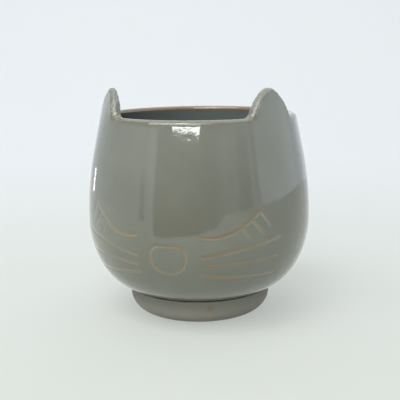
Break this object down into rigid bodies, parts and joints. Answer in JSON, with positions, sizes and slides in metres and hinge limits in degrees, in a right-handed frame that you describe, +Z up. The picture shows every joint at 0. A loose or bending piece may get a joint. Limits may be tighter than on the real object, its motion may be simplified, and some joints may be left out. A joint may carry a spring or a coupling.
{
  "type": "animal shaped planter",
  "caption": "Round stoneware cat-face planter with ears: a glazed bowl that lifts out of a bare clay drip saucer, with a mesh disc over its drain hole.",
  "frame": {"origin": "on the table under the axis of the bowl, at the middle of the part's box", "axes": "+Z up along the bowl's axis; the cat's face looks towards -Y, with its ears on the +X and -X sides"},
  "size_m": [0.14, 0.14, 0.1435],
  "materials": {
    "glaze": "gloss",
    "bare_clay": "matte",
    "screen_plastic": "satin",
    "felt": "matte"
  },
  "bodies": {
    "saucer": {"saucer": "bare_clay", "saucer_pad_1": "felt", "saucer_pad_2": "felt", "saucer_pad_3": "felt", "saucer_pad_4": "felt"},
    "pot": {"pot": "glaze"},
    "screen": {"drain_screen": "screen_plastic"}
  },
  "joints": [
    {"name": "pot_lift", "type": "slide", "parent": "saucer", "child": "pot", "axis": [0, 0, 1], "range_m": [0, 0.06]},
    {"name": "screen_lift", "type": "slide", "parent": "pot", "child": "screen", "axis": [0, 0, 1], "range_m": [0, 0.135]}
  ]
}
